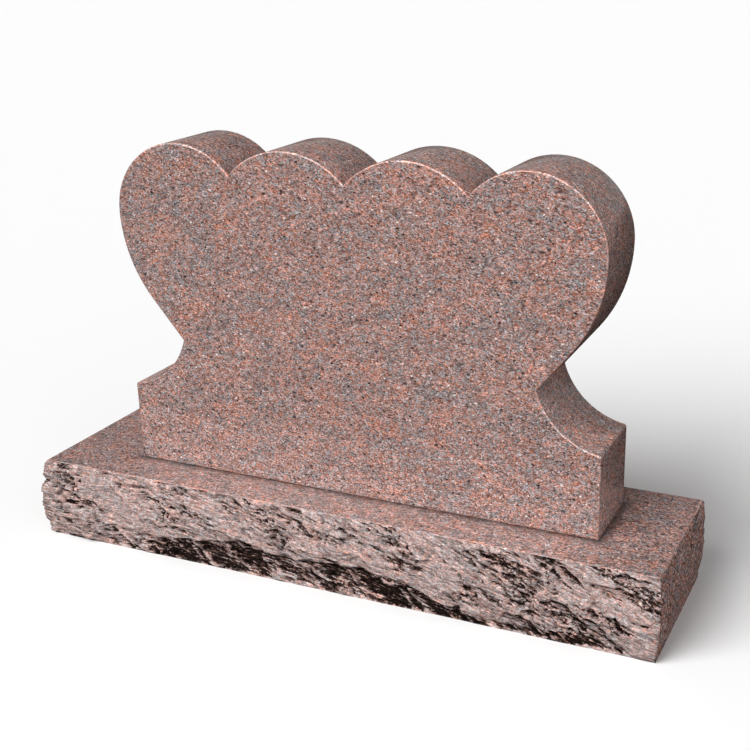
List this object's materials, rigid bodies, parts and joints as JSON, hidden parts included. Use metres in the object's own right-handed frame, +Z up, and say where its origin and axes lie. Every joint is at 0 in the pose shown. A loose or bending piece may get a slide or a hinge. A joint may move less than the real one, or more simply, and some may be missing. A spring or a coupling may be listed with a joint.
{
  "type": "heart headstone",
  "caption": "Companion headstone in speckled rose-pink granite: a tablet with the outline of two hearts side by side, on a rock-pitched base.",
  "frame": {"origin": "on the ground, at the centre of the base's underside", "axes": "+X to the right along the base as seen from the front, +Y towards the back, +Z up"},
  "size_m": [1.646, 0.447, 1.0223],
  "materials": {
    "polished_granite": "gloss",
    "rock_granite": "matte"
  },
  "bodies": {
    "root": {"tablet": "polished_granite", "base": "rock_granite"}
  },
  "joints": []
}
